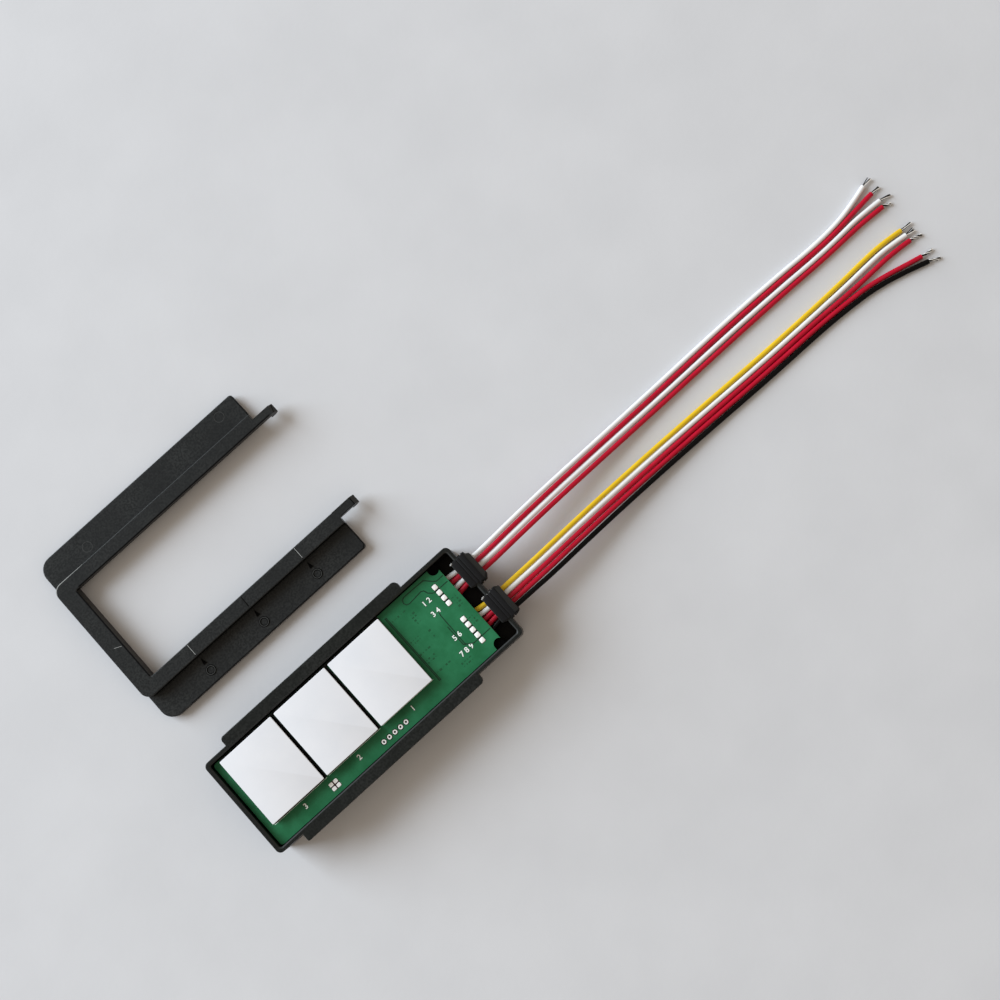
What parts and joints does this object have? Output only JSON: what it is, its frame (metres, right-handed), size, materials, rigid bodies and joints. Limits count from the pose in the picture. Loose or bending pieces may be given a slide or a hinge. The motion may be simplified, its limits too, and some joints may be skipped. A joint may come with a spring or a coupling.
{
  "type": "mirror touch switch",
  "caption": "Touch switch module for the back of a mirror: an open black tray with sprung white keys on a green board, loose wires, and a U-shaped slide-in bracket.",
  "frame": {"origin": "on the middle line of the tray's flat back, 46 mm from its wire end, where the module lies on the table", "axes": "+X along the tray towards the wires, +Y across it towards the bracket, +Z out of the keys"},
  "size_m": [0.2615, 0.1136, 0.0133],
  "materials": {
    "black_plastic": "fine moulded texture, satin black",
    "black_rubber": "smooth moulded rubber",
    "board_laminate": "green solder mask over glass laminate",
    "white_pad": "satin white film",
    "foam": "dark conductive foam",
    "tinned_metal": "tinned copper",
    "insulation_white": "soft glossy insulation",
    "insulation_red": "soft glossy insulation",
    "insulation_yellow": "soft glossy insulation",
    "insulation_black": "soft glossy insulation",
    "chip_body": "moulded epoxy",
    "capacitor_can": "drawn can",
    "adhesive_tape": "double-sided foam tape"
  },
  "bodies": {
    "module": {"chip_resistors": "chip_body", "circuit_board": "board_laminate", "filter_capacitors": "capacitor_can", "jumper_pads": "tinned_metal", "output_transistor_1": "chip_body", "output_transistor_2": "chip_body", "output_transistor_3": "chip_body", "reverse_polarity_diode": "chip_body", "solder_joints_a": "tinned_metal", "solder_joints_b": "tinned_metal", "test_hole_rings": "tinned_metal", "touch_controller_chip": "chip_body", "touch_pad_foam_1": "foam", "touch_pad_foam_2": "foam", "touch_pad_foam_3": "foam", "tray_housing": "black_plastic", "voltage_regulator": "chip_body", "wire_a1_white": "insulation_white", "wire_a1_white_strands": "tinned_metal", "wire_a1_white_tail": "insulation_white", "wire_a2_red": "insulation_red", "wire_a2_red_strands": "tinned_metal", "wire_a2_red_tail": "insulation_red", "wire_a3_white": "insulation_white", "wire_a3_white_strands": "tinned_metal", "wire_a3_white_tail": "insulation_white", "wire_a4_red": "insulation_red", "wire_a4_red_strands": "tinned_metal", "wire_a4_red_tail": "insulation_red", "wire_b1_yellow": "insulation_yellow", "wire_b1_yellow_strands": "tinned_metal", "wire_b1_yellow_tail": "insulation_yellow", "wire_b2_white": "insulation_white", "wire_b2_white_strands": "tinned_metal", "wire_b2_white_tail": "insulation_white", "wire_b3_red": "insulation_red", "wire_b3_red_strands": "tinned_metal", "wire_b3_red_tail": "insulation_red", "wire_b4_red": "insulation_red", "wire_b4_red_strands": "tinned_metal", "wire_b4_red_tail": "insulation_red", "wire_b5_black": "insulation_black", "wire_b5_black_strands": "tinned_metal", "wire_b5_black_tail": "insulation_black", "wire_grommet_a": "black_rubber", "wire_grommet_b": "black_rubber"},
    "touch_key_1": {"touch_pad_face_1": "white_pad"},
    "touch_key_2": {"touch_pad_face_2": "white_pad"},
    "touch_key_3": {"touch_pad_face_3": "white_pad"},
    "bracket": {"bracket_frame": "black_plastic", "adhesive_tape_near": "adhesive_tape", "adhesive_tape_far": "adhesive_tape"}
  },
  "joints": [
    {"name": "touch_key_1_press", "type": "slide", "parent": "module", "child": "touch_key_1", "axis": [0, 0, -1], "range_m": [0, 0.0008], "stiffness_N_per_m": 2000, "deforming": ["touch_pad_foam_1"]},
    {"name": "touch_key_2_press", "type": "slide", "parent": "module", "child": "touch_key_2", "axis": [0, 0, -1], "range_m": [0, 0.0008], "stiffness_N_per_m": 2000, "deforming": ["touch_pad_foam_2"]},
    {"name": "touch_key_3_press", "type": "slide", "parent": "module", "child": "touch_key_3", "axis": [0, 0, -1], "range_m": [0, 0.0008], "stiffness_N_per_m": 2000, "deforming": ["touch_pad_foam_3"]},
    {"name": "bracket_slide", "type": "slide", "parent": "module", "child": "bracket", "axis": [-1, 0, 0], "range_m": [0, 0.0762]}
  ]
}
